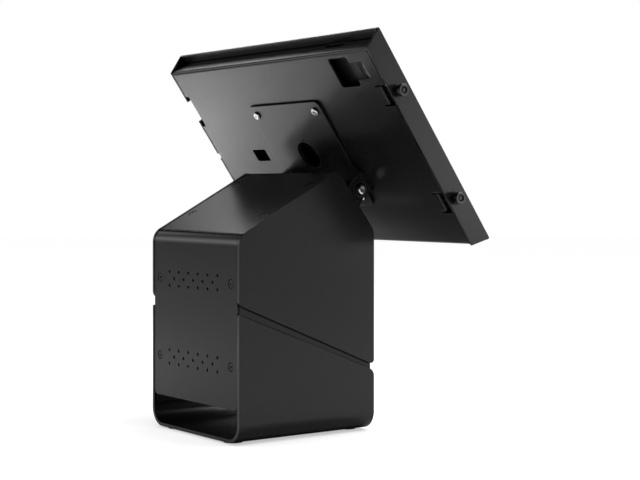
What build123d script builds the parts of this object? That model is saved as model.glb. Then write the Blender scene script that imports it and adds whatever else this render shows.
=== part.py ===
from build123d import *
import os

os.makedirs("parts", exist_ok=True)

# A counter-top kiosk stand: a sheet-metal base with a bay for a receipt printer, a tilting bracket on its
# sloping front, and a lockable tablet enclosure. Millimetres and degrees. The user sits at -Y, the vented
# back panel is at +Y, and +X is the user's right. z = 0 is the underside of the base's floor, and the
# rubber feet reach below it.

# Driving dimensions of the base
base_width = 157.0
base_depth = 156.0
rear_shoulder_height = 189.7
ridge_height = 250.6
ridge_setback = 34.3            # the ridge lies this far in front of the base's middle
front_shoulder_height = 192.8
shell_wall = 3.0                # outer side walls and the floor
floor_bend_radius = 17.8
skin_thickness = 2.0            # the bent cover strip
skin_inset = 0.4                # the strip lies this far inside the side panels' outline
chassis_wall = 2.0
foot_thickness = 1.5

# The tablet, which the enclosure is sized round
tablet_width = 286.0
tablet_height = 201.0
tablet_thickness = 6.5
glass_thickness = 0.8
tablet_corner = 9.0
screen_side_border = 10.0       # glass beside the screen
screen_top_border = 11.5        # and above and below it

# Driving dimensions of the tablet enclosure
side_margin = 28.8              # from the tablet's edge to the side wall's outer face
end_margin = 7.7                # from the tablet's edge to the top and bottom walls' outer faces
head_depth = 22.0
front_rise = 9.0                # the front frame stands this far above the top wall
front_drop = 7.7                # and this far below the bottom wall
sheet = 2.0                     # every sheet of the enclosure
rest_tilt = 35.0                # the back plate leans back from upright

# Where the enclosure turns, measured from the sloping front and from the enclosure itself
pivot_down_slope = 33.8
pivot_off_slope = 16.0
plate_standoff = 13.8           # from the pivot to the back plate's rear face
pivot_below_middle = 34.2       # from the enclosure's middle down to the pivot

# Clearances, and one overrun for cuts
seam = 0.5                      # open joint in front of a removable sheet
side_seam = 0.7                 # and between the cover strip and the side sheets
plate_seam = 1.4                # and between the back plate and the enclosure's side walls
slip = 0.2                      # a sheet that slides past another
running = 0.05                  # a shaft in its hole, on the radius
seat_gap = 0.3                  # soft or loose pieces rest this close
overrun = 5.0

half_width = base_width / 2
half_depth = base_depth / 2
inner_side = half_width - shell_wall
half_tablet = tablet_width / 2
half_head = half_tablet + side_margin
head_height = tablet_height + 2 * end_margin
head_middle = head_height / 2
pivot_drop = head_middle + pivot_below_middle
screen_half_width = half_tablet - screen_side_border
screen_half_height = tablet_height / 2 - screen_top_border


def rounded(corners):
    # A closed outline through (a, b, radius) corners.
    outline = make_face(Polyline(*[(a, b) for a, b, radius in corners], close=True))
    for a, b, radius in corners:
        if radius > 0:
            corner = outline.vertices().sort_by_distance((a, b, 0))[0]
            outline = fillet(corner, radius)
    return outline


def inset(corners, depth):
    # The same counter-clockwise outline, moved inwards, with its bends on the same centres.
    moved = []
    for index, (a, b, radius) in enumerate(corners):
        before = corners[index - 1]
        after = corners[(index + 1) % len(corners)]
        along_in = Vector(a - before[0], b - before[1]).normalized()
        along_out = Vector(after[0] - a, after[1] - b).normalized()
        normal_in = Vector(-along_in.Y, along_in.X)
        normal_out = Vector(-along_out.Y, along_out.X)
        shift = (normal_in + normal_out) * (depth / (1 + normal_in.dot(normal_out)))
        moved.append((a + shift.X, b + shift.Y, max(radius - depth, 0)))
    return moved


def block(x_range, y_range, z_range):
    # A box given by its two limits along each axis.
    spans = (x_range, y_range, z_range)
    middle = [(low + high) / 2 for low, high in spans]
    return Pos(*middle) * Box(*[abs(high - low) for low, high in spans])


def along_x(face, start, length):
    # A face drawn in (y, z), extruded from x = start in the +X direction.
    return Pos(start, 0, 0) * extrude(Plane.YZ * face, amount=length)


def disc(radius, length, axis_plane):
    # A cylinder that starts on a plane and runs along its normal.
    return axis_plane * (Pos(0, 0, length / 2) * Cylinder(radius, length))


def hexagon(across_flats, height, turn=0):
    return extrude(Rot(0, 0, turn) * RegularPolygon(across_flats / 2, 6, major_radius=False), amount=height)


def pair(solid):
    # A piece on the +X side and its mirror image on the -X side.
    return [solid, mirror(solid, Plane.YZ)]


def write(name, solids, place=Location()):
    shapes = list(solids) if isinstance(solids, (list, tuple)) else [solids]
    loose = []
    for shape in shapes:
        loose.extend(shape.solids())
    placed = [place * solid for solid in loose]
    export_step(placed[0] if len(placed) == 1 else Compound(children=placed), f"parts/{name}.step")


# Base: the side outline, its corner radii, and the open joint between upper and lower halves
shoulder_radius = 15.0
ridge_radius = 4.5
upper_rear_corner = 127.3       # heights of the joint's four corners
upper_front_corner = 62.7
lower_rear_corner = 118.6
lower_front_corner = 57.4
upper_joint_radius = 3.5
upper_rear_radius = 6.0
lower_joint_radius = 8.0
small_corner = 1.0

outline = [
    (-half_depth, 0, 0),
    (half_depth, 0, 0),
    (half_depth, rear_shoulder_height, shoulder_radius),
    (-ridge_setback, ridge_height, ridge_radius),
    (-half_depth, front_shoulder_height, shoulder_radius),
]
skin_top = inset(outline, skin_inset)
skin_bottom = inset(outline, skin_inset + skin_thickness)
chassis_inner = inset(outline, skin_inset + skin_thickness + chassis_wall)

panel_bottom = 30.6             # lower edge of the vented back panel
front_lip_bottom = 172.0        # lower edge of the cover strip at the front
chassis_bottom = 22.0           # clears the bend of the floor


def above(rear_bottom, front_bottom):
    # The region over two heights, one for the rear half and one for the front half.
    reach = half_depth + overrun
    top = ridge_height + overrun
    return make_face(Polyline(
        (0, rear_bottom), (reach, rear_bottom), (reach, top),
        (-reach, top), (-reach, front_bottom), (0, front_bottom), close=True))


# Weld studs on the inside of the outer sheets hold the chassis sides with nuts
stud_radius = 2.0
stud_length = 6.5
nut_across_flats = 7.0
nut_height = 3.2
stud_setback = 20.0             # from the base's front and back edges
stud_reach = half_depth - stud_setback
upper_stud_height = 165.0
lower_stud_height = 36.0
upper_studs = [(stud_reach, upper_stud_height), (-stud_reach, upper_stud_height)]
lower_studs = [(stud_reach, lower_stud_height), (-stud_reach, lower_stud_height)]


def side_plane(x, y, z):
    # A plane on the +X side whose normal points inwards, towards -X.
    return Plane(origin=(x, y, z), x_dir=(0, 1, 0), z_dir=(-1, 0, 0))


def studs(places):
    return [disc(stud_radius, stud_length, side_plane(inner_side, y, z)) for y, z in places]


# Lower shell: floor and two side walls bent from one sheet, with holes for bolting down
counter_hole_radius = 2.75
counter_spacing_x = 80.0
counter_spacing_y = 100.0
counter_cable_radius = 14.0


def lower_shell():
    channel_height = lower_rear_corner + overrun
    channel = [
        (-half_width, 0, floor_bend_radius),
        (half_width, 0, floor_bend_radius),
        (half_width, channel_height, 0),
        (-half_width, channel_height, 0),
    ]
    hollow = inset(channel, shell_wall)
    hollow = hollow[:2] + [(a, channel_height, 0) for a, b, radius in hollow[2:]]
    section = rounded(channel) - rounded(hollow)
    shell = extrude(Plane.XZ * section, amount=half_depth, both=True)
    side = rounded([
        (-half_depth, 0, 0),
        (half_depth, 0, 0),
        (half_depth, lower_rear_corner, small_corner),
        (-half_depth, lower_front_corner, lower_joint_radius),
    ])
    shell &= extrude(Plane.YZ * side, amount=half_width, both=True)
    for x in (-counter_spacing_x / 2, counter_spacing_x / 2):
        for y in (-counter_spacing_y / 2, counter_spacing_y / 2):
            shell -= Pos(x, y, shell_wall / 2) * Cylinder(counter_hole_radius, shell_wall + overrun)
    shell -= Pos(0, 0, shell_wall / 2) * Cylinder(counter_cable_radius, shell_wall + overrun)
    for stud in studs(lower_studs):
        for one in pair(stud):
            shell += one
    return shell


# Upper side panels: the flat sheets over the joint
def side_panel():
    face = rounded([
        (-half_depth, upper_front_corner, upper_joint_radius),
        (half_depth, upper_rear_corner, upper_rear_radius),
        (half_depth, rear_shoulder_height, shoulder_radius),
        (-ridge_setback, ridge_height, ridge_radius),
        (-half_depth, front_shoulder_height, shoulder_radius),
    ])
    panel = along_x(face, inner_side, shell_wall)
    for stud in studs(upper_studs):
        panel += stud
    return panel


# Chassis sides: flanged liners that carry the cover strip and show in the open joint
flange_width = 20.0
flange_relief = 13.0            # cut round each bend, so that the flanges could be folded
screw_hole = 2.1


def chassis_side():
    plate = rounded(skin_bottom) & above(chassis_bottom, chassis_bottom)
    flange = rounded(skin_bottom) - rounded(chassis_inner)
    flange &= above(panel_bottom + shell_wall, front_lip_bottom + shell_wall)
    for a, b, radius in skin_bottom[2:]:
        flange -= Pos(a, b) * Circle(flange_relief)
    side = along_x(plate, inner_side - chassis_wall, chassis_wall)
    side += along_x(flange, inner_side - flange_width, flange_width)
    for y, z in upper_studs + lower_studs:
        hole = disc(stud_radius + running, chassis_wall + overrun, side_plane(inner_side + slip, y, z))
        side -= hole
    for plane in back_screw_planes() + roof_screw_planes() + bracket_screw_planes():
        side -= disc(screw_hole, overrun + flange_width, plane.offset(-overrun - flange_width / 2))
    return side


def panel_nuts():
    nuts = []
    for y, z in upper_studs + lower_studs:
        seat = side_plane(inner_side - chassis_wall, y, z)
        nut = seat * hexagon(nut_across_flats, nut_height)
        nut -= disc(stud_radius + running, nut_height + overrun, seat.offset(-overrun / 2))
        nuts.extend(pair(nut))
    return nuts


# Cover strip: vented back panel, roof and front slope bent from one sheet
skin_half_width = inner_side - side_seam
skin_corner = 5.0
vent_radius = 1.6
vent_pitch = 17.45
vent_row_pitch = 6.65
vent_columns = 6
vent_offset = 2.4               # the vents stand this far towards +X of the middle
back_screw_setback = 11.5       # from the side walls' inner faces
back_screw_x = inner_side - back_screw_setback
upper_vent_height = 146.0
lower_vent_height = 69.8
roof_screw_setback = 11.2
roof_screw_x = inner_side - roof_screw_setback
roof_screw_reaches = (42.2, 101.0)  # along the roof from the rear shoulder
countersink_radius = 4.4
screw_head_radius = 3.6         # narrower than its countersink, which shows as a ring round it
screw_sink = 0.2                # a screw's face lies this far below the sheet's
screw_shank = 1.95
screw_length = 9.0
slope_cable_radius = 15.0


def surface_plane(start, end, reach, x):
    # On the cover strip's outer face, from one corner of the side outline towards the next, facing out.
    along = Vector(0, end[0] - start[0], end[1] - start[1]).normalized()
    place = Vector(x, start[0], start[1]) + along * reach
    return Plane(origin=place, x_dir=(1, 0, 0), z_dir=along.cross(Vector(1, 0, 0)))


def back_screw_planes():
    rear_bottom, rear_shoulder = skin_top[1], skin_top[2]
    heights = (lower_vent_height, upper_vent_height)
    return [surface_plane(rear_bottom, rear_shoulder, height - rear_bottom[1], x)
            for x in (-back_screw_x, back_screw_x) for height in heights]


def roof_screw_planes():
    return [surface_plane(skin_top[2], skin_top[3], reach, x)
            for x in (-roof_screw_x, roof_screw_x) for reach in roof_screw_reaches]


slope_plane = surface_plane(skin_top[3], skin_top[4], 0, 0)     # on the ridge, facing out of the front
slope_down = Vector(0, skin_top[4][0] - skin_top[3][0], skin_top[4][1] - skin_top[3][1]).normalized()
bracket_screw_setback = 24.5
bracket_screw_x = inner_side - bracket_screw_setback
bracket_screw_reaches = (22.0, 46.0)


def bracket_screw_planes():
    return [surface_plane(skin_top[3], skin_top[4], reach, x)
            for x in (-bracket_screw_x, bracket_screw_x) for reach in bracket_screw_reaches]


def countersunk_hole(plane):
    cone = plane * (Pos(0, 0, -skin_thickness / 2) * Cone(screw_hole, countersink_radius, skin_thickness))
    return cone + disc(screw_hole, skin_thickness + overrun, plane.offset(-skin_thickness - overrun / 2))


def vents():
    holes = []
    for centre in (lower_vent_height, upper_vent_height):
        for row in (-1, 0, 1):
            count = vent_columns - (row == 0)
            for column in range(count):
                x = vent_offset + (column - (count - 1) / 2) * vent_pitch
                z = centre + row * vent_row_pitch
                start = Plane(origin=(x, half_depth, z), x_dir=(1, 0, 0), z_dir=(0, -1, 0))
                holes.append(disc(vent_radius, skin_thickness + overrun, start))
    return holes


def cover_strip():
    section = rounded(skin_top) - rounded(skin_bottom)
    section &= above(panel_bottom, front_lip_bottom)
    strip = along_x(section, -skin_half_width, 2 * skin_half_width)
    rear_corners = strip.edges().filter_by(Axis.Y).filter_by(lambda edge: edge.center().Y > 0)
    strip = fillet(rear_corners, skin_corner)
    for hole in vents():
        strip -= hole
    for plane in back_screw_planes() + roof_screw_planes():
        strip -= countersunk_hole(plane)
    for plane in bracket_screw_planes():
        strip -= disc(screw_hole, skin_thickness + overrun, plane.offset(-skin_thickness - overrun / 2))
    middle = slope_plane.offset(-skin_thickness - overrun / 2)
    cable = disc(slope_cable_radius, skin_thickness + overrun, middle)
    strip -= Pos(slope_down * pivot_down_slope) * cable
    return strip


# Screws: countersunk ones in the cover strip, and button heads elsewhere
socket_across_flats = 2.5
socket_depth = 1.3
dome_share = 0.6                # of a button head's height, rounded over


def countersunk_screw(plane):
    cone_height = skin_thickness - screw_sink
    head = Pos(0, 0, cone_height / 2 - skin_thickness) * Cone(screw_shank, screw_head_radius, cone_height)
    shank_length = screw_length - screw_sink
    shank = Pos(0, 0, -screw_sink - shank_length / 2) * Cylinder(screw_shank, shank_length)
    socket = Pos(0, 0, -screw_sink - socket_depth) * hexagon(socket_across_flats, socket_depth + overrun)
    return plane * (head + shank - socket)


def button_screw(seat, head_radius, head_height, shank_radius, length):
    # A domed screw along +Z whose head starts at the seat and whose shank runs the length below it.
    head = Cylinder(head_radius, head_height)
    head = fillet(head.edges().group_by(Axis.Z)[-1], head_height * dome_share)
    screw = Pos(0, 0, seat + head_height / 2) * head
    screw += Pos(0, 0, seat - length / 2) * Cylinder(shank_radius, length)
    socket = hexagon(socket_across_flats, socket_depth + overrun)
    return screw - Pos(0, 0, seat + head_height - socket_depth) * socket


# Fixed bracket on the slope: a web and two ears bent up to the pivot
ear_thickness = 3.0
moving_ear_outer = 69.0
fixed_ear_outer = moving_ear_outer - ear_thickness - slip
ear_radius = 11.0
web_top = 12.0                  # from the ridge, down the slope
web_bottom = 56.0
web_corner = 4.0
pivot_bolt_radius = 3.0
bolt_head_radius = 4.8
bolt_head_height = 2.9
button_head_radius = 3.8
button_head_height = 2.2


def slope_bracket():
    web = Pos(0, -(web_top + web_bottom) / 2) * Rectangle(2 * fixed_ear_outer, web_bottom - web_top)
    bracket = extrude(web, amount=ear_thickness)
    foot = Polyline((-web_top - web_corner, 0), (-web_bottom + web_corner, 0))
    tip = Pos(-pivot_down_slope, pivot_off_slope) * Circle(ear_radius)
    ear_face = make_hull(foot.edges() + tip.edges())
    ear = along_x(ear_face, fixed_ear_outer - ear_thickness, ear_thickness)
    bore_start = fixed_ear_outer - ear_thickness - overrun / 2
    bore = along_x(Pos(-pivot_down_slope, pivot_off_slope) * Circle(pivot_bolt_radius + running),
                   bore_start, ear_thickness + overrun)
    for one in pair(ear - bore):
        bracket += one
    bracket -= Pos(0, -pivot_down_slope, 0) * Cylinder(slope_cable_radius, ear_thickness + 2 * overrun)
    for x in (-bracket_screw_x, bracket_screw_x):
        for reach in bracket_screw_reaches:
            bracket -= Pos(x, -reach, 0) * Cylinder(screw_hole, ear_thickness + 2 * overrun)
    return slope_plane * bracket


def bracket_screw(plane):
    length = screw_length + ear_thickness
    return plane * button_screw(ear_thickness, button_head_radius, button_head_height, screw_shank, length)


# The pivot, in the base's own frame, and the two sets of washers on its bolts
pivot = slope_plane.origin + slope_down * pivot_down_slope + slope_plane.z_dir * pivot_off_slope
friction_disc_radius = 8.5
friction_disc_thickness = 1.0
washer_radius = 6.5
washer_thickness = 1.2
pivot_nut_across_flats = 10.0
pivot_nut_height = 5.0
bolt_socket_across_flats = 4.0
bolt_socket_depth = 2.0


def on_pivot(solid):
    # A piece drawn along +Z from the pivot's line, turned to run along +X at the pivot.
    return Pos(pivot) * (Rot(0, 90, 0) * solid)


def ring(inner, outer, start, length):
    tube = Pos(0, 0, start + length / 2) * Cylinder(outer, length)
    return tube - Pos(0, 0, start + length / 2) * Cylinder(inner, length + overrun)


head_seat = moving_ear_outer + friction_disc_thickness + washer_thickness + 2 * running
nut_seat = fixed_ear_outer - ear_thickness


def pivot_bolt():
    head = Cylinder(bolt_head_radius, bolt_head_height)
    head = fillet(head.edges().group_by(Axis.Z)[-1], bolt_head_height * dome_share)
    head = Pos(0, 0, head_seat + bolt_head_height / 2) * head
    start = nut_seat - pivot_nut_height - washer_thickness
    shank = Pos(0, 0, (start + head_seat) / 2) * Cylinder(pivot_bolt_radius, head_seat - start)
    socket = Pos(0, 0, head_seat + bolt_head_height - bolt_socket_depth)
    bolt = head + shank - socket * hexagon(bolt_socket_across_flats, bolt_socket_depth + overrun)
    return on_pivot(bolt)


def pivot_nut():
    start = nut_seat - pivot_nut_height
    nut = hexagon(pivot_nut_across_flats, pivot_nut_height)
    nut -= Cylinder(pivot_bolt_radius + running, 2 * (pivot_nut_height + overrun))
    return on_pivot(Pos(0, 0, start) * nut)


def friction_disc():
    start = moving_ear_outer + running
    return on_pivot(ring(pivot_bolt_radius + running, friction_disc_radius, start, friction_disc_thickness))


def pivot_washer():
    start = head_seat - washer_thickness
    return on_pivot(ring(pivot_bolt_radius + running, washer_radius, start, washer_thickness))


# Rubber feet under the flat of the floor
foot_radius = 9.0
foot_side_setback = 28.5        # from the base's sides to the middle of a foot
foot_end_setback = 12.0
foot_x = half_width - foot_side_setback
foot_y = half_depth - foot_end_setback


def rubber_feet():
    foot = Pos(0, 0, -foot_thickness / 2) * Cylinder(foot_radius, foot_thickness)
    return [Pos(x, y, 0) * foot for x in (-foot_x, foot_x) for y in (-foot_y, foot_y)]


# The enclosure is drawn upright: x across, y = 0 on the back plate's rear face with +Y out of the back,
# and z = 0 on the back plate's top edge. This places it on the pivot, leaning back.
head_place = Pos(pivot) * Rot(-rest_tilt, 0, 0) * Pos(0, -plate_standoff, pivot_drop)
vesa = 100.0
vesa_hole = 2.2
vesa_corners = [(x, z) for x in (-vesa / 2, vesa / 2) for z in (-vesa / 2, vesa / 2)]


def plate_cut(face):
    # A cut through the back plate, for a face drawn in (x, z).
    return Pos(0, overrun, 0) * extrude(Plane.XZ * face, amount=sheet + 2 * overrun)


def tag(x_range, drop_range, radius=0):
    # A rectangle in (x, z) given by its limits across and its distances below the top edge.
    x0, x1 = x_range
    top, bottom = drop_range
    width, height = abs(x1 - x0), abs(bottom - top)
    face = RectangleRounded(width, height, radius) if radius else Rectangle(width, height)
    return Pos((x0 + x1) / 2, -(top + bottom) / 2) * face


# Tilt plate: four-hole plate with ears bent back to the pivot
tilt_plate_half_width = 60.0
tilt_plate_thickness = 2.5
tilt_plate_rise = 60.2          # from the enclosure's middle up to the plate's top edge
tilt_plate_reach = 61.5         # and down to its bottom edge
tilt_plate_corner = 6.0
tilt_cable_radius = 15.3
ear_shoulder = 10.0
ear_above_pivot = 11.5
ear_below_pivot = 9.8
ear_past_pivot = 10.2           # the ears reach this far past the pivot's line
ear_corner = 4.0
tilt_plate_top = head_middle - tilt_plate_rise
tilt_plate_bottom = head_middle + tilt_plate_reach
ear_top = pivot_drop - ear_above_pivot
ear_bottom = pivot_drop + ear_below_pivot
ear_reach = plate_standoff + ear_past_pivot


def tilt_plate():
    wide = moving_ear_outer
    half_face = [
        (0, -tilt_plate_bottom, 0),
        (tilt_plate_half_width, -tilt_plate_bottom, tilt_plate_corner),
        (tilt_plate_half_width, -ear_bottom - small_corner, 0),
        (wide, -ear_bottom, 0),
        (wide, -ear_top, 0),
        (tilt_plate_half_width, -ear_top + ear_shoulder, 0),
        (tilt_plate_half_width, -tilt_plate_top, tilt_plate_corner),
        (0, -tilt_plate_top, 0),
    ]
    half = extrude(Plane.XZ * rounded(half_face), amount=-tilt_plate_thickness)
    ear_face = rounded([
        (0, -ear_top, 0),
        (0, -ear_bottom, 0),
        (ear_reach, -ear_bottom, ear_corner),
        (ear_reach, -ear_top, ear_corner),
    ])
    ear = along_x(ear_face, wide - ear_thickness, ear_thickness)
    bore = Pos(plate_standoff, -pivot_drop) * Circle(pivot_bolt_radius + running)
    ear -= along_x(bore, wide - ear_thickness - overrun, ear_thickness + 2 * overrun)
    half += ear
    plate = half + mirror(half, Plane.YZ)
    plate -= plate_cut(Pos(0, -head_middle) * Circle(tilt_cable_radius))
    for x, z in vesa_corners:
        plate -= plate_cut(Pos(x, -head_middle + z) * Circle(vesa_hole))
    return plate


vesa_head_radius = 4.0
vesa_head_height = 2.6
vesa_screw_length = 8.0
vesa_shank = 2.0
insert_radius = 3.6
insert_height = 3.0


# On the back plate's rear face at each hole of the pattern, facing out of the back
vesa_planes = [Plane(origin=(x, 0, -head_middle + z), x_dir=(1, 0, 0), z_dir=(0, 1, 0))
               for x, z in vesa_corners]


def vesa_screw(plane):
    return plane * button_screw(
        tilt_plate_thickness, vesa_head_radius, vesa_head_height, vesa_shank, vesa_screw_length)


def vesa_insert(plane):
    tube = ring(vesa_shank + running, insert_radius, -sheet - insert_height, insert_height)
    return plane * tube


# Back plate: top and bottom walls bent forwards from it, cut-outs, and tabs beside both side walls
plate_half_width = half_head - sheet - plate_seam
plate_bend = 1.2                # inside radius of the top and bottom bends
wall_reach = head_depth - sheet - seam
upper_tab_drop = 49.2           # middle of the upper tabs, below the top edge
lower_tab_rise = 48.8           # middle of the lower tabs, above the bottom edge
tab_drops = (upper_tab_drop, head_height - lower_tab_rise)
lock_set = 7.9                  # lock axis in front of the back plate's rear face
strike_setback = 10.5           # from the side wall's outer face to the tabs that the locks enter
strike_x = half_head - strike_setback
strike_half = 9.5
strike_relief = 2.0
strike_undercut = 7.5
strike_reach = 13.0
hook_setback = 8.0
hook_tab_x = half_head - hook_setback
hook_tab_half = 11.5
hook_undercut = 1.0
hook_relief = 7.5
hook_reach = 17.0
hook_half = 8.5
hook_set = 9.0                  # the cover's hooks lie this far in front of the plate's rear face
hook_window = (8.3, 14.6)
bend_radius = 2.0
tab_overlap = 9.0
pin_radius = 2.3
pin_hole = 2.7
camera_from_edge = 7.0          # from the tablet's edge to the cut-out for its rear camera
camera_width = 29.0
camera_drop = (6.0, 37.0)
camera_corner = 3.0
tongue_width = 18.0
tongue_start = half_tablet - camera_from_edge
camera_x = (tongue_start - camera_width, tongue_start)
tongue_x = (tongue_start, tongue_start + tongue_width)
tongue_drop = (12.0, 30.5)
tongue_fall = 7.0
tongue_gap = 0.8                # above and below the tongue
tongue_bend = 7.0
tongue_hole = 1.2
tongue_hole_shares = (0.14, 0.5, 0.86)  # along the tongue, from its top
button_slot_x = (-93.0, -122.0)
button_slot_set = (12.0, 18.2)  # in front of the plate's rear face, through the top wall
port_x = (76.2, 99.8)
port_height = 14.3
port_corner = 2.0
port_drop = (head_middle - port_height / 2, head_middle + port_height / 2)
ear_slot_width = 2.5
ear_slot_height = 18.0
ear_slot_setback = 1.0          # below the start of the ear
ear_slot_x = (moving_ear_outer + seat_gap, moving_ear_outer + seat_gap + ear_slot_width)
ear_slot_drop = (ear_top + ear_slot_setback, ear_top + ear_slot_setback + ear_slot_height)
slot_end_share = 0.49           # of a slot's width, so that its ends are round


def bent_tab(bend_x, half, drop, reach):
    # An L of sheet that leaves the plate, turns forwards at bend_x and ends at its reach.
    profile = rounded([
        (bend_x - tab_overlap, 0, 0),
        (bend_x - tab_overlap, -sheet, 0),
        (bend_x - sheet, -sheet, 0),
        (bend_x - sheet, -reach, 0),
        (bend_x, -reach, 0),
        (bend_x, 0, bend_radius),
    ])
    return Pos(0, 0, -drop - half) * extrude(profile, amount=2 * half)


def tongue():
    # The strip left beside the camera cut-out, bent inwards like a ramp, with three holes along its bend.
    inner, outer = tongue_x
    profile = rounded([
        (-outer - sheet, 0, 0),
        (-outer - sheet, -sheet, 0),
        (-outer, -sheet, tongue_bend),
        (-inner, -sheet - tongue_fall, 0),
        (-inner, -tongue_fall, 0),
        (-outer, 0, tongue_bend + sheet),
    ])
    top, bottom = tongue_drop
    ramp = Pos(0, 0, -bottom + tongue_gap) * extrude(profile, amount=bottom - top - 2 * tongue_gap)
    for share in tongue_hole_shares:
        drop = top + (bottom - top) * share
        ramp -= Pos(-outer + sheet, 0, -drop) * Rot(90, 0, 0) * Cylinder(tongue_hole, 2 * tongue_fall)
    return ramp


def back_plate():
    channel = [(0, 0, plate_bend + sheet), (0, -head_height, plate_bend + sheet),
               (-wall_reach, -head_height, 0), (-wall_reach, 0, 0)]
    hollow = [(-sheet, -sheet, plate_bend), (-sheet, sheet - head_height, plate_bend),
              (-head_depth, sheet - head_height, 0), (-head_depth, -sheet, 0)]
    plate = along_x(rounded(channel) - rounded(hollow), -plate_half_width, 2 * plate_half_width)
    face = tag((-camera_x[0], -camera_x[1]), camera_drop, camera_corner)
    face += tag((-tongue_x[0] + camera_corner, -tongue_x[1]), tongue_drop)
    face += tag(port_x, port_drop, port_corner)
    face += Pos(0, -head_middle) * Circle(tilt_cable_radius)
    for x, z in vesa_corners:
        face += Pos(x, -head_middle + z) * Circle(vesa_hole)
    slot_end = ear_slot_width * slot_end_share
    for side in (-1, 1):
        face += tag((side * ear_slot_x[0], side * ear_slot_x[1]), ear_slot_drop, slot_end)
    edge = plate_half_width + overrun
    for drop in tab_drops:
        cut = strike_half + strike_relief
        face += tag((-edge, strike_undercut - strike_x), (drop - cut, drop + cut))
        cut = hook_tab_half + hook_relief
        face += tag((hook_tab_x - hook_undercut, edge), (drop - cut, drop + cut))
    plate -= plate_cut(face)
    plate -= block(button_slot_x, (-button_slot_set[0], -button_slot_set[1]), (overrun, -sheet - overrun))
    for drop in tab_drops:
        strike = mirror(bent_tab(strike_x, strike_half, drop, strike_reach), Plane.YZ)
        strike -= Pos(-strike_x, -lock_set, -drop) * Rot(0, 90, 0) * Cylinder(pin_hole, sheet + 2 * overrun)
        plate += strike
        hook_tab = bent_tab(hook_tab_x, hook_tab_half, drop, hook_reach)
        hook_tab -= block((hook_tab_x - sheet - slip, hook_tab_x + slip), (-hook_window[0], -hook_window[1]),
                          (-drop - hook_half - seam, -drop + hook_half + seam))
        plate += hook_tab
    return plate + tongue()


# Tablet, and the foam that holds it
tablet_back = 10.5              # in front of the back plate's rear face
foam_side = 7.0                 # foam beside the tablet
pad_width = 32.0
pad_height = 30.0
pad_x = (half_tablet + foam_side - pad_width, half_tablet + foam_side)
pad_from_middle = 28.0          # from the enclosure's middle to the middle of a pad
foam_end = 4.3                  # foam above and below the tablet
foam_below_glass = 0.4


def tablet_face(grow=0.0):
    return Pos(0, -head_middle) * RectangleRounded(
        tablet_width + 2 * grow, tablet_height + 2 * grow, tablet_corner + grow)


def slab(face, start, end):
    # A face drawn in (x, z), between two distances in front of the back plate's rear face.
    return Pos(0, -start, 0) * extrude(Plane.XZ * face, amount=end - start)


tablet_front = tablet_back + tablet_thickness
glass_front = tablet_front + glass_thickness
tablet_round = 1.8
glass_inset = 0.6


def tablet_shell():
    shell = slab(tablet_face(), tablet_back, tablet_front)
    return fillet(shell.edges().group_by(Axis.Y)[-1], tablet_round)


def foam_frame():
    outer = Rectangle(tablet_width + 2 * foam_side, tablet_height + 2 * foam_end)
    outer = fillet(outer.vertices(), tablet_corner)
    face = Pos(0, -head_middle) * outer - tablet_face(seat_gap)
    return slab(face, tablet_back, glass_front - foam_below_glass)


def foam_pads():
    pads = []
    for middle in (head_middle - pad_from_middle, head_middle + pad_from_middle):
        drops = (middle - pad_height / 2, middle + pad_height / 2)
        pads.extend(pair(slab(tag(pad_x, drops, port_corner), sheet, tablet_back)))
    return pads


# Front cover: frame, side walls with slanted ends, and two hooks
cover_corner = 1.5
window_corner = 3.0
wall_notch_half = 12.5
small_notch_height = 6.5
small_notch_rise = 4.0          # above the enclosure's middle
small_notch_top = head_middle - small_notch_rise
small_notch_drop = (small_notch_top, small_notch_top + small_notch_height)
small_notch_set = 4.0
hook_lip = 1.0                  # a hook reaches this far past its window
lock_sleeve_radius = 5.9


def screen_face(grow=0.0):
    return Pos(0, -head_middle) * RectangleRounded(
        2 * (screen_half_width + grow), 2 * (screen_half_height + grow), window_corner)


def front_cover():
    inner_front = head_depth - sheet
    rim = tag((-half_head, half_head), (-front_rise, head_height + front_drop), cover_corner)
    cover = slab(rim - screen_face(), inner_front, head_depth)
    wall_face = make_face(Polyline(
        (0, 0), (0, -head_height), (-head_depth, -head_height - front_drop), (-head_depth, front_rise),
        close=True))
    for start in (-half_head, half_head - sheet):
        cover += along_x(wall_face, start, sheet)
    cover &= slab(rim, -overrun, head_depth + overrun)
    outer = half_head + overrun
    inner = half_head - sheet - slip
    for drop in tab_drops:
        cover -= block((inner, outer), (overrun, -hook_set), (-drop - wall_notch_half, -drop + wall_notch_half))
        cover += block((hook_tab_x - sheet - hook_lip, half_head - sheet / 2),
                       (-hook_set, -hook_set - sheet), (-drop - hook_half, -drop + hook_half))
        hole = Rot(0, 90, 0) * Cylinder(lock_sleeve_radius + running, 3 * sheet)
        cover -= Pos(-half_head, -lock_set, -drop) * hole
    cover -= block((inner, outer), (overrun, -small_notch_set), (-small_notch_drop[0], -small_notch_drop[1]))
    return cover


def bezel_foam():
    outer = tablet_face(-seat_gap)
    return slab(outer - screen_face(sheet), glass_front + seat_gap, head_depth - sheet)


# Locks: each has a fixed sleeve in the cover's side wall, a plunger that is pushed in, and a key plug
lock_head_radius = 5.7
lock_head_length = 4.0
lock_head_round = 0.5
lock_stem_radius = 4.1
sleeve_collar = 1.0
sleeve_depth = 5.0              # of the sleeve behind the side wall's outer face
plunger_travel = 4.0
lock_face = half_head + sleeve_collar + plunger_travel + lock_head_length   # when it stands out
pin_clearance = 0.7             # from the pin's tip to the tab, when the plunger stands out
plug_radius = 3.4
plug_length = 6.0
keyway_outer = 2.9
keyway_inner = 1.8
keyway_depth = 2.0
keyway_dot = 0.5
plug_recess = 0.5
key_notch = 1.1


def lock_frame(drop):
    # Drawn along +Z from the middle of the enclosure outwards, at one lock on the -X side.
    return Pos(0, -lock_set, -drop) * Rot(0, -90, 0)


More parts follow.
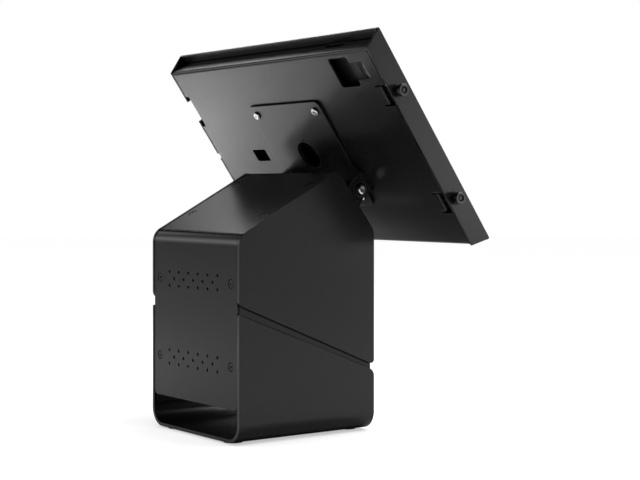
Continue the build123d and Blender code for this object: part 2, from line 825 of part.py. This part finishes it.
def lock_sleeve():
    collar_top = half_head + sleeve_collar
    start = half_head - sleeve_depth
    return ring(lock_stem_radius + running, lock_sleeve_radius, start, collar_top - start)


def lock_plunger():
    head_start = lock_face - lock_head_length
    head = Cylinder(lock_head_radius, lock_head_length)
    head = fillet(head.edges().group_by(Axis.Z)[-1], lock_head_round)
    plunger = Pos(0, 0, head_start + lock_head_length / 2) * head
    stem_start = half_head - sheet / 2
    plunger += Pos(0, 0, (stem_start + head_start) / 2) * Cylinder(lock_stem_radius, head_start - stem_start)
    pin_tip = strike_x + pin_clearance
    plunger += Pos(0, 0, (pin_tip + stem_start) / 2) * Cylinder(pin_radius, stem_start - pin_tip)
    bore = Cylinder(plug_radius + running, plug_length + overrun)
    plunger -= Pos(0, 0, lock_face + (overrun - plug_length) / 2) * bore
    notch = Pos(plug_radius, 0, lock_face) * Box(key_notch * 2, key_notch, keyway_depth)
    return plunger - notch


def lock_plug():
    start = lock_face - plug_length + running
    face = lock_face - plug_recess
    plug = Pos(0, 0, (start + face) / 2) * Cylinder(plug_radius, face - start)
    plug -= ring(keyway_inner, keyway_outer, face - keyway_depth, keyway_depth + overrun)
    plug -= Pos(0, 0, lock_face) * Cylinder(keyway_dot, keyway_depth)
    return plug


# Write every piece under its own name
panel = side_panel()
write("lower_shell", lower_shell())
write("side_panel_right", panel)
write("side_panel_left", mirror(panel, Plane.YZ))
chassis = chassis_side()
write("chassis_side_right", chassis)
write("chassis_side_left", mirror(chassis, Plane.YZ))
write("panel_nuts", panel_nuts())
write("cover_strip", cover_strip())
write("back_screws", [countersunk_screw(plane) for plane in back_screw_planes()])
write("roof_screws", [countersunk_screw(plane) for plane in roof_screw_planes()])
write("slope_bracket", slope_bracket())
write("bracket_screws", [bracket_screw(plane) for plane in bracket_screw_planes()])
write("pivot_bolts", pair(pivot_bolt()))
write("pivot_nuts", pair(pivot_nut()))
write("friction_discs", pair(friction_disc()))
write("pivot_washers", pair(pivot_washer()))
write("rubber_feet", rubber_feet())

write("tilt_plate", tilt_plate(), head_place)
write("vesa_screws", [vesa_screw(plane) for plane in vesa_planes], head_place)
write("vesa_inserts", [vesa_insert(plane) for plane in vesa_planes], head_place)
write("back_plate", back_plate(), head_place)
write("tablet_shell", tablet_shell(), head_place)
write("tablet_glass", slab(tablet_face(-glass_inset), tablet_front, glass_front), head_place)
write("foam_frame", foam_frame(), head_place)
write("foam_pads", foam_pads(), head_place)

write("front_cover", front_cover(), head_place)
write("bezel_foam", bezel_foam(), head_place)
for name, drop in zip(("upper", "lower"), tab_drops):
    write(f"{name}_lock_sleeve", lock_frame(drop) * lock_sleeve(), head_place)
    write(f"{name}_lock_plunger", lock_frame(drop) * lock_plunger(), head_place)
    write(f"{name}_lock_plug", lock_frame(drop) * lock_plug(), head_place)

# Joint places, for the record
joint_places = {"pivot": Pos(pivot), "cover hinge": head_place * Pos(half_head, 0, -head_middle)}
for name, drop in zip(("upper", "lower"), tab_drops):
    joint_places[f"{name} lock"] = head_place * Pos(-half_head, -lock_set, -drop)
for name, place in joint_places.items():
    print(name, [round(value, 3) for value in place.position])
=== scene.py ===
import math

import bmesh
import bpy
from mathutils import Matrix, Vector


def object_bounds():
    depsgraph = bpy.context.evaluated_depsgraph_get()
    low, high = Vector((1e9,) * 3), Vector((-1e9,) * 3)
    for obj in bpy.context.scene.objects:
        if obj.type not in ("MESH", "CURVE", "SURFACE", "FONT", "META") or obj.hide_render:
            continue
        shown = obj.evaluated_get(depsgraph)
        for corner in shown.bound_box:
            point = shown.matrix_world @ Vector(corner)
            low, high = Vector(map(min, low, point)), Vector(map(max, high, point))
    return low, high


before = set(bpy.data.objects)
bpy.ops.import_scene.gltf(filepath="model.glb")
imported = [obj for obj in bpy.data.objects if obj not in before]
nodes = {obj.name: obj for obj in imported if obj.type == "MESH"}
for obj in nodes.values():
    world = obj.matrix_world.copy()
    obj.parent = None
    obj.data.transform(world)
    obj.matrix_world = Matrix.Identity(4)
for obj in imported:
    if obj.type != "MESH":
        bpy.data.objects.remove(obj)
cadLow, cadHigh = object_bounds()
print("frame loaded:", len(nodes), "nodes")

scene = bpy.context.scene
scene.view_settings.view_transform = "Standard"


# Shader maths: a Wire is an output socket that can be added, subtracted and multiplied

class Wire:
    def __init__(self, paint, socket):
        self.paint = paint
        self.socket = socket

    def __add__(self, other):
        return self.paint.maths("ADD", self, other)

    def __sub__(self, other):
        return self.paint.maths("SUBTRACT", self, other)

    def __rsub__(self, other):
        return self.paint.maths("SUBTRACT", other, self)

    def __mul__(self, other):
        return self.paint.maths("MULTIPLY", self, other)

    __radd__ = __add__
    __rmul__ = __mul__


# The turn from a face to its rounded normal that counts as flat, and the one that counts as a sharp edge
edgeLook = {"samples": 6, "flatTo": 0.01, "sharpFrom": 0.16}


class Paint:
    def __init__(self, tree):
        self.tree = tree

    def node(self, kind, settings, inputs, output=0):
        # Adds any node: its settings first, then the values or wires of its sockets
        made = self.tree.nodes.new(kind)
        for name, value in settings.items():
            setattr(made, name, value)
        for name, value in inputs.items():
            if isinstance(value, Wire):
                self.tree.links.new(value.socket, made.inputs[name])
            else:
                made.inputs[name].default_value = value
        return Wire(self, made.outputs[output]) if made.outputs else None

    def maths(self, operation, *values):
        return self.node("ShaderNodeMath", {"operation": operation}, dict(enumerate(values)))

    def smooth(self, value, low, high, bottom=0.0, top=1.0):
        return self.node("ShaderNodeMapRange", {"interpolation_type": "SMOOTHSTEP"}, {
            "Value": value, "From Min": low, "From Max": high, "To Min": bottom, "To Max": top})

    def tent(self, value, start, middle, end):
        # One at the middle, with straight slopes down to nought at start and end
        slopes = [self.node("ShaderNodeMapRange", {}, {"Value": value, "From Min": foot, "From Max": middle})
                  for foot in (start, end)]
        return self.maths("MINIMUM", *slopes)

    def noise(self, place, scale, detail, roughness=0.5):
        return self.node("ShaderNodeTexNoise", {}, {
            "Vector": place, "Scale": scale, "Detail": detail, "Roughness": roughness})

    def mix(self, share, first, second):
        return self.node("ShaderNodeMix", {"data_type": "RGBA"}, {0: share, 6: first, 7: second}, 2)

    def vector(self, operation, *values, output="Vector"):
        return self.node("ShaderNodeVectorMath", {"operation": operation}, dict(enumerate(values)), output)

    def along(self, place, axis):
        # The place's X, Y or Z by name
        return self.node("ShaderNodeSeparateXYZ", {}, {"Vector": place}, axis)

    def objectPlace(self):
        return self.node("ShaderNodeTexCoord", {}, {}, "Object")

    def bump(self, strength, distance, height, **normal):
        return self.node("ShaderNodeBump", {}, {
            "Strength": strength, "Distance": distance, "Height": height, **normal})

    def edgeMask(self, radius):
        # The rounded normal, and a mask that is one near a sharp edge and nought on the flat
        rounded = self.node("ShaderNodeBevel", {"samples": edgeLook["samples"]}, {"Radius": radius})
        facing = self.node("ShaderNodeNewGeometry", {}, {}, "Normal")
        along = self.vector("DOT_PRODUCT", rounded, facing, output="Value")
        return rounded, self.smooth(1 - along, edgeLook["flatTo"], edgeLook["sharpFrom"])


noiseMiddle = 0.5


def newMaterial(name):
    material = bpy.data.materials.new(name)
    material.use_nodes = True
    tree = material.node_tree
    tree.nodes.clear()
    return material, Paint(tree)


def finishMaterial(paint, surface):
    paint.node("ShaderNodeOutputMaterial", {}, {"Surface": surface})


def grey(value):
    return (value, value, value, 1.0)


# Finishes. A noise is given as its scale, detail and roughness

# Painted shade: within this reach, the ambient occlusion mixes in a near-black matt tone in gaps, holes and
# grooves
creviceLook = {"reach": 0.003, "samples": 12, "darkFrom": 0.56, "clearFrom": 0.8, "tone": 0.004}

# The part's own sockets, grooves and holes are painted dark at their own radii, as painted shade in these
# recesses, by the distance from their axes (unit vectors). Sides says whether a centre is mirrored to the other
# side as well
rearAxis = (0, 1, 0)
roofAxis = (0, 0.476712, 0.87906)
lockAxis = (1, 0, 0)
headAxis = (0, 0.819152, -0.573576)
screwRings = {
    "socket": 0.00125, "inner": 0.0036, "outer": 0.0044, "blur": 0.0001, "sides": (1, -1),
    "centres": [(rearAxis, (0.064, 0.078, 0.0698)), (rearAxis, (0.064, 0.078, 0.146)),
                (roofAxis, (0.0643, 0.0401, 0.2088)), (roofAxis, (0.0643, -0.0116, 0.2369))]}
lockRings = {
    "socket": 0.0005, "inner": 0.0018, "outer": 0.0029, "blur": 0.0001, "sides": (1,),
    "centres": [(lockAxis, (-0.1803, -0.03165, 0.32156)), (lockAxis, (-0.1803, -0.09957, 0.22458))]}
tongueHoles = {
    "socket": 0.0012, "blur": 0.0001, "sides": (1,),
    "centres": [(headAxis, (-0.152, -0.0144, 0.3355)), (headAxis, (-0.152, -0.0106, 0.34095)),
                (headAxis, (-0.152, -0.0068, 0.3464))]}


def inCrevice(paint):
    # One inside gaps, holes and grooves, nought on open faces: the mask of the painted shade, from ambient
    # occlusion
    openness = paint.node("ShaderNodeAmbientOcclusion", {"samples": creviceLook["samples"]},
                          {"Distance": creviceLook["reach"]}, "AO")
    return paint.smooth(openness, creviceLook["darkFrom"], creviceLook["clearFrom"], 1.0, 0.0)


def inRings(paint, place, rings):
    # One in the listed sockets, grooves and holes, nought beside them: the mask of their painted shade
    blur = rings["blur"]
    share = 0.0
    for axis, centre in rings["centres"]:
        for side in rings["sides"]:
            offset = paint.vector("SUBTRACT", place, (centre[0] * side, centre[1], centre[2]))
            reach = paint.vector("LENGTH", paint.vector("CROSS_PRODUCT", offset, axis), output="Value")
            socket = paint.smooth(reach, rings["socket"], rings["socket"] + blur, 1.0, 0.0)
            share = paint.maths("MAXIMUM", share, socket)
            if "inner" in rings:
                begun = paint.smooth(reach, rings["inner"] - blur, rings["inner"])
                ended = paint.smooth(reach, rings["outer"], rings["outer"] + blur)
                share = paint.maths("MAXIMUM", share, begun - ended)
    return share


def finishWithPaintedShade(paint, place, surface, rings, paintedShadeShare=1.0):
    # Closes a material with painted shade: its crevices and rings are painted dark
    dark = inCrevice(paint) * paintedShadeShare
    if rings:
        dark = paint.maths("MAXIMUM", dark, inRings(paint, place, rings))
    # The painted shade: a near-black matt colour that stands in for the shade in crevices and rings
    paintedShade = paint.node("ShaderNodeBsdfDiffuse", {}, {"Color": grey(creviceLook["tone"])})
    finishMaterial(paint, paint.node("ShaderNodeMixShader", {}, {0: dark, 1: surface, 2: paintedShade}))


coatLook = {"tone": 0.010, "worn": 0.045, "roughness": 0.25, "swing": 0.02, "ior": 1.4,
            "cloud": (14.0, 3.0, 0.55), "cloudDark": 0.86, "cloudLight": 1.14,
            "grain": (1500.0, 3.0, 0.6), "grainFrom": 0.56, "grainTo": 0.74, "grainShare": 0.35,
            "grainLight": 1.9, "orangePeel": (420.0, 1.0), "grainHeight": 0.65, "peelHeight": 0.9,
            "bumpStrength": 1.0, "bumpDepth": 0.000007,
            "scuff": (126.0, 4.0, 0.7), "scuffFrom": 0.34, "scuffTo": 0.66, "scuffLeast": 0.25,
            "edgeRadius": 0.0007, "edgePolish": 0.06}
# Painted highlight on the rear cut edges: from this Y backwards, the coat takes a lighter tone
cutHighlightLook = {"rearFace": 0.0778, "blur": 0.0002, "tone": 0.075}


def powderCoat(name, tone=1.0, roughness=0.0, edge=1.0, cut=False, rings=None):
    look = coatLook
    material, paint = newMaterial(name)
    place = paint.objectPlace()
    grain = paint.noise(place, *look["grain"])
    peel = paint.noise(place, *look["orangePeel"])
    cloud = paint.noise(place, *look["cloud"])
    scuff = paint.noise(place, *look["scuff"])
    rounded, atEdge = paint.edgeMask(look["edgeRadius"])
    base = look["tone"] * tone
    flat = paint.mix(cloud, grey(base * look["cloudDark"]), grey(base * look["cloudLight"]))
    speckle = paint.smooth(grain, look["grainFrom"], look["grainTo"], 0.0, look["grainShare"])
    speckled = paint.mix(speckle, flat, grey(base * look["grainLight"]))
    rubbed = atEdge * paint.smooth(scuff, look["scuffFrom"], look["scuffTo"], look["scuffLeast"], 1.0) * edge
    colour = paint.mix(rubbed, speckled, grey(look["worn"]))
    if cut:
        # The cut edges at the back are painted lighter: a painted highlight along the rear cut edges
        rearFace = cutHighlightLook["rearFace"]
        paintedCutHighlight = paint.smooth(paint.along(place, "Y"), rearFace - cutHighlightLook["blur"], rearFace)
        colour = paint.mix(paintedCutHighlight, colour, grey(cutHighlightLook["tone"]))
    rough = (look["roughness"] + roughness + (cloud - noiseMiddle) * look["swing"]
             + (grain - noiseMiddle) * look["swing"])
    height = grain * look["grainHeight"] + peel * look["peelHeight"]
    bump = paint.bump(look["bumpStrength"], look["bumpDepth"], height, Normal=rounded)
    coat = paint.node("ShaderNodeBsdfPrincipled", {}, {
        "Base Color": colour, "Roughness": rough - atEdge * look["edgePolish"], "IOR": look["ior"],
        "Normal": bump})
    finishWithPaintedShade(paint, place, coat, rings)
    return material


steelLook = {"fine": (900.0, 4.0, 0.7), "broad": (180.0, 2.0), "broadDark": 0.85, "broadLight": 1.1,
             "swing": 0.16, "bumpStrength": 0.5, "bumpDepth": 0.00002, "edgeRadius": 0.0002}
# The locks' faces, at this X and beyond, are given a lighter tone than their stems
lockFace = {"plane": -0.1801, "blur": 0.0003, "tone": 0.065}


def steel(name, tone, roughness, worn, metallic=1.0, paintedShadeShare=1.0, rings=None, face=None):
    # Plated or blackened steel of the small hardware
    look = steelLook
    material, paint = newMaterial(name)
    place = paint.objectPlace()
    fine = paint.noise(place, *look["fine"])
    broad = paint.noise(place, *look["broad"])
    rounded, atEdge = paint.edgeMask(look["edgeRadius"])
    flat = paint.mix(broad, grey(tone * look["broadDark"]), grey(tone * look["broadLight"]))
    if face:
        atFace = paint.smooth(paint.along(place, "X"), face["plane"], face["plane"] + face["blur"], 1.0, 0.0)
        flat = paint.mix(atFace, flat, grey(face["tone"]))
    colour = paint.mix(atEdge, flat, grey(worn))
    rough = roughness + (fine - noiseMiddle) * look["swing"]
    bump = paint.bump(look["bumpStrength"], look["bumpDepth"], fine, Normal=rounded)
    plated = paint.node("ShaderNodeBsdfPrincipled", {}, {
        "Base Color": colour, "Metallic": metallic, "Roughness": rough, "Normal": bump})
    finishWithPaintedShade(paint, place, plated, rings, paintedShadeShare)
    return material


softLook = {"poreFrom": 0.1, "poreTo": 0.6, "poreDark": 0.5, "poreLight": 1.2, "bumpStrength": 0.8,
            "broadScale": 0.05, "broadDetail": 3.0, "swing": 0.1}


def softBlack(name, tone, roughness, poreScale, poreDepth):
    # Foam, rubber and fibre: matt, with pores
    look = softLook
    material, paint = newMaterial(name)
    place = paint.objectPlace()
    pores = paint.node("ShaderNodeTexVoronoi", {}, {"Vector": place, "Scale": poreScale}, "Distance")
    broad = paint.noise(place, poreScale * look["broadScale"], look["broadDetail"])
    solid = paint.smooth(pores, look["poreFrom"], look["poreTo"])
    colour = paint.mix(solid, grey(tone * look["poreDark"]), grey(tone * look["poreLight"]))
    bump = paint.bump(look["bumpStrength"], poreDepth, pores)
    rough = roughness + (broad - noiseMiddle) * look["swing"]
    finishMaterial(paint, paint.node("ShaderNodeBsdfPrincipled", {}, {
        "Base Color": colour, "Roughness": rough, "Normal": bump}))
    return material


anodisedLook = {"grain": (2600.0, 2.0, 0.6), "dark": 0.05, "light": 0.065, "metallic": 0.85,
                "roughness": 0.36, "swing": 0.08, "bumpStrength": 0.4, "bumpDepth": 0.00002,
                "edgeRadius": 0.0004, "edgeShare": 0.6, "edgeTone": 0.12}


def anodised(name):
    look = anodisedLook
    material, paint = newMaterial(name)
    place = paint.objectPlace()
    grain = paint.noise(place, *look["grain"])
    rounded, atEdge = paint.edgeMask(look["edgeRadius"])
    flat = paint.mix(grain, grey(look["dark"]), grey(look["light"]))
    colour = paint.mix(atEdge * look["edgeShare"], flat, grey(look["edgeTone"]))
    bump = paint.bump(look["bumpStrength"], look["bumpDepth"], grain, Normal=rounded)
    rough = look["roughness"] + (grain - noiseMiddle) * look["swing"]
    finishMaterial(paint, paint.node("ShaderNodeBsdfPrincipled", {}, {
        "Base Color": colour, "Metallic": look["metallic"], "Roughness": rough, "Normal": bump}))
    return material


# The display's middle and half sizes are in metres, its lean in degrees
glassLook = {"middle": (0, -0.0729, 0.2785), "leanBack": 35.0, "halfWidth": 0.1305, "halfHeight": 0.087,
             "edge": 0.0003, "border": 0.004, "display": 0.012, "displayTint": (1.0, 1.05, 1.2),
             "ior": 1.5, "roughness": 0.05,
             "smear": (26.0, 5.0, 0.65), "smearFrom": 0.48, "smearTo": 0.7, "smearRough": 0.03,
             "dust": (900.0, 2.0), "dustFrom": 0.68, "dustTo": 0.8, "dustRough": 0.05}


def insideDisplay(paint, place):
    # One over the switched-off display, nought over the glass's black border
    look = glassLook
    lean = math.radians(look["leanBack"])
    across = (1, 0, 0)
    upwards = (0, math.sin(lean), math.cos(lean))
    offset = paint.vector("SUBTRACT", place, look["middle"])
    share = 1.0
    for direction, half in ((across, look["halfWidth"]), (upwards, look["halfHeight"])):
        reach = paint.maths("ABSOLUTE", paint.vector("DOT_PRODUCT", offset, direction, output="Value"))
        share = share * paint.smooth(reach, half - look["edge"], half, 1.0, 0.0)
    return share


def coverGlass(name):
    # Glossy black glass with faint finger smudges and dust
    look = glassLook
    material, paint = newMaterial(name)
    place = paint.objectPlace()
    rough = look["roughness"]
    for kind in ("smear", "dust"):
        spots = paint.noise(place, *look[kind])
        rough = rough + paint.smooth(spots, look[kind + "From"], look[kind + "To"], 0.0, look[kind + "Rough"])
    display = (*(look["display"] * share for share in look["displayTint"]), 1.0)
    colour = paint.mix(insideDisplay(paint, place), grey(look["border"]), display)
    finishMaterial(paint, paint.node("ShaderNodeBsdfPrincipled", {}, {
        "Base Color": colour, "Roughness": rough, "IOR": look["ior"]}))
    return material


coatOuter = powderCoat("black powder coat")
coatCutHighlight = powderCoat("black powder coat, cut edges", cut=True)
coatStrip = powderCoat("black powder coat, countersunk", rings=screwRings)
coatPlate = powderCoat("black powder coat, back plate", rings=tongueHoles)
coatInner = powderCoat("black powder coat, inner sheets", tone=0.9, roughness=0.06, edge=0.6)
brightZinc = steel("bright zinc", tone=0.78, roughness=0.2, worn=0.9)
# The pivot bolts take a quarter of the painted shade in their crevices
boltZinc = steel("bright zinc of the pivot bolts", tone=0.78, roughness=0.24, worn=0.9, paintedShadeShare=0.25)
dullZinc = steel("zinc", tone=0.5, roughness=0.34, worn=0.6)
blackSteel = steel("blackened steel", tone=0.02, roughness=0.4, worn=0.05, metallic=0.9)
screwSteel = steel("blackened countersunk steel", tone=0.05, roughness=0.34, worn=0.16, metallic=0.9,
                   rings=screwRings)
lockMetal = steel("black plated lock", tone=0.025, roughness=0.3, worn=0.12, metallic=0.9,
                  rings=lockRings, face=lockFace)
foam = softBlack("closed-cell foam", tone=0.02, roughness=0.85, poreScale=1800.0, poreDepth=0.00015)
rubber = softBlack("rubber", tone=0.018, roughness=0.7, poreScale=2600.0, poreDepth=0.00005)
fibre = softBlack("friction disc", tone=0.01, roughness=0.75, poreScale=1600.0, poreDepth=0.0001)
tabletMetal = anodised("dark anodised aluminium")
tabletGlass = coverGlass("tablet cover glass, display off")

nodeFinishes = {
    "lower_shell": coatCutHighlight, "side_panel_left": coatCutHighlight, "side_panel_right": coatCutHighlight,
    "chassis_side_left": coatInner, "chassis_side_right": coatInner, "cover_strip": coatStrip,
    "slope_bracket": coatOuter, "tilt_plate": coatOuter, "back_plate": coatPlate, "front_cover": coatOuter,
    "panel_nuts": dullZinc, "pivot_nuts": dullZinc, "vesa_inserts": dullZinc, "pivot_washers": blackSteel,
    "vesa_screws": brightZinc, "pivot_bolts": boltZinc,
    "back_screws": screwSteel, "roof_screws": screwSteel, "bracket_screws": blackSteel,
    "friction_discs": fibre, "rubber_feet": rubber,
    "foam_frame": foam, "foam_pads": foam, "bezel_foam": foam,
    "tablet_shell": tabletMetal, "tablet_glass": tabletGlass,
    "upper_lock_sleeve": lockMetal, "lower_lock_sleeve": lockMetal,
    "upper_lock_plunger": lockMetal, "lower_lock_plunger": lockMetal,
    "upper_lock_plug": lockMetal, "lower_lock_plug": lockMetal,
}
for name, material in nodeFinishes.items():
    for slot in nodes[name].material_slots:
        slot.material = material
print("finishes:", len(set(nodeFinishes.values())), "on", len(nodeFinishes), "nodes")


# Stage: floor, white surroundings, lamps and camera

floorLook = {"radius": 6.0, "segments": 96, "albedo": 0.78, "glow": 0.98, "shade": 0.3,
             "contactReach": 0.09, "contactSamples": 8, "contactShare": 0.5,
             "darkTo": 0.62, "brightFrom": 0.85, "mirrored": 0.53}


def seenDirectly(paint):
    # One for rays that show the floor itself: straight to the camera, mirrored or through glass
    rays = [paint.node("ShaderNodeLightPath", {}, {}, kind)
            for kind in ("Is Camera Ray", "Is Glossy Ray", "Is Transmission Ray")]
    return paint.maths("MINIMUM", rays[0] + rays[1] + rays[2], 1.0)


def buildFloor():
    look = floorLook
    mesh = bpy.data.meshes.new("floor")
    floor = bpy.data.objects.new("floor", mesh)
    scene.collection.objects.link(floor)
    shape = bmesh.new()
    bmesh.ops.create_circle(shape, cap_ends=True, segments=look["segments"], radius=look["radius"],
                            matrix=Matrix.Translation((0, 0, cadLow.z)))
    shape.to_mesh(mesh)
    shape.free()
    material, paint = newMaterial("pale floor")
    bounce = paint.node("ShaderNodeBsdfDiffuse", {}, {"Color": grey(look["albedo"])})
    near = paint.node("ShaderNodeAmbientOcclusion", {"samples": look["contactSamples"]},
                      {"Distance": look["contactReach"]}, "AO")
    mirrored = paint.node("ShaderNodeLightPath", {}, {}, "Is Glossy Ray")
    # Reflections show the floor dimmer, and darkest close to the object: a painted shadow, from ambient
    # occlusion
    farShare = 1 - mirrored * (1 - paint.smooth(near, look["darkTo"], look["brightFrom"],
                                                0.0, look["mirrored"]))
    # Painted contact shadow: the glow seen straight on is also dimmed near the object, by the same ambient
    # occlusion
    openShare = (1 - (1 - near) * look["contactShare"]) * farShare
    glow = paint.node("ShaderNodeEmission", {}, {"Color": grey(1.0), "Strength": openShare * look["glow"]})
    shade = paint.node("ShaderNodeBsdfDiffuse", {}, {"Color": grey(look["shade"])})
    shown = paint.node("ShaderNodeAddShader", {}, {0: glow, 1: shade})
    finishMaterial(paint, paint.node("ShaderNodeMixShader", {}, {
        0: seenDirectly(paint), 1: bounce, 2: shown}))
    mesh.materials.append(material)


# Softboxes low round the horizon, in degrees, each brightest in its middle. The camera sees plain white
skyPatches = [
    {"elevations": (-8, 0, 10), "azimuths": (205, 218, 231), "strength": 1.25},
    {"elevations": (-8, 0, 10), "azimuths": (218, 231, 246), "strength": 7.2},
    {"elevations": (0, 12, 28), "azimuths": (10, 36, 62), "strength": 3.19},
]


def buildSurroundings():
    world = bpy.data.worlds.new("white studio")
    world.use_nodes = True
    world.node_tree.nodes.clear()
    scene.world = world
    paint = Paint(world.node_tree)
    direction = paint.node("ShaderNodeTexCoord", {}, {}, "Generated")
    elevation = paint.maths("ARCSINE", paint.along(direction, "Z")) * math.degrees(1)
    heading = paint.maths("ARCTAN2", paint.along(direction, "Y"), paint.along(direction, "X"))
    azimuth = heading * math.degrees(1)
    glow = 0.0
    for patch in skyPatches:
        left, centre, right = patch["azimuths"]
        turn = paint.maths("WRAP", azimuth - centre, 180.0, -180.0)
        share = paint.tent(elevation, *patch["elevations"]) * paint.tent(turn, left - centre, 0, right - centre)
        glow = share * patch["strength"] + glow
    light = paint.node("ShaderNodeBackground", {}, {"Color": grey(1.0), "Strength": glow})
    white = paint.node("ShaderNodeBackground", {}, {"Color": grey(1.0), "Strength": 1.0})
    seen = paint.node("ShaderNodeLightPath", {}, {}, "Is Camera Ray")
    mixed = paint.node("ShaderNodeMixShader", {}, {0: seen, 1: light, 2: white})
    paint.node("ShaderNodeOutputWorld", {}, {"Surface": mixed})


# Square lamps: places, aims and sides in metres, power in watts, spread in degrees
lampLook = {"aim": (0, 0, 0.2), "spread": 180}
lamps = {
    "high front softbox": {"place": (-0.352, -0.610, 1.524), "side": 1.2, "power": 35.0},
    "front softbox": {"place": (-0.614, -1.064, 1.060), "side": 0.6, "power": 10.7},
    "right low lamp": {"place": (1.350, 0.238, 0.810), "side": 0.3, "power": 0.36},
    "right middle lamp": {"place": (1.288, -0.469, 0.810), "side": 0.3, "power": 0.16},
    "right high lamp": {"place": (1.164, -0.205, 1.124), "side": 0.3, "power": 0.85},
    "front right lamp": {"place": (1.114, -0.643, 0.973), "side": 0.3, "power": 1.85},
    "right floor lamp": {"place": (0.85, 0.0, 0.5), "aim": (0.85, 0.0, 0), "side": 0.25, "power": 6.4,
                         "spread": 60},
    "near floor lamp": {"place": (0.62, 0.14, 0.5), "aim": (0.62, 0.14, 0), "side": 0.3, "power": 1.2,
                        "spread": 70},
}


def buildLamp(name, settings):
    lamp = {**lampLook, **settings}
    light = bpy.data.lights.new(name, "AREA")
    light.shape = "SQUARE"
    light.size = lamp["side"]
    light.energy = lamp["power"]
    light.spread = math.radians(lamp["spread"])
    made = bpy.data.objects.new(name, light)
    scene.collection.objects.link(made)
    place = Vector(lamp["place"])
    aim = Vector(lamp["aim"]) - place
    made.location = place
    made.rotation_euler = aim.to_track_quat("-Z", "Y").to_euler()
    made.visible_camera = False


# The place is in metres, the lens and the sensor in millimetres
cameraSet = {"place": (-1.1912, 0.8028, 0.2316), "heading": (0.8065, -0.5913, 0.0),
             "lens": 82.216, "sensor": 36.0, "shiftUp": -0.0774, "nearest": 0.01}


def buildCamera():
    made = bpy.data.cameras.new("camera")
    made.lens = cameraSet["lens"]
    made.sensor_width = cameraSet["sensor"]
    made.shift_y = cameraSet["shiftUp"]
    made.clip_start = cameraSet["nearest"]
    camera = bpy.data.objects.new("camera", made)
    scene.collection.objects.link(camera)
    camera.location = cameraSet["place"]
    camera.rotation_euler = Vector(cameraSet["heading"]).to_track_quat("-Z", "Y").to_euler()
    scene.camera = camera


buildFloor()
buildSurroundings()
for name, settings in lamps.items():
    buildLamp(name, settings)
buildCamera()
print("stage: floor, surroundings,", len(lamps), "lamps and camera")
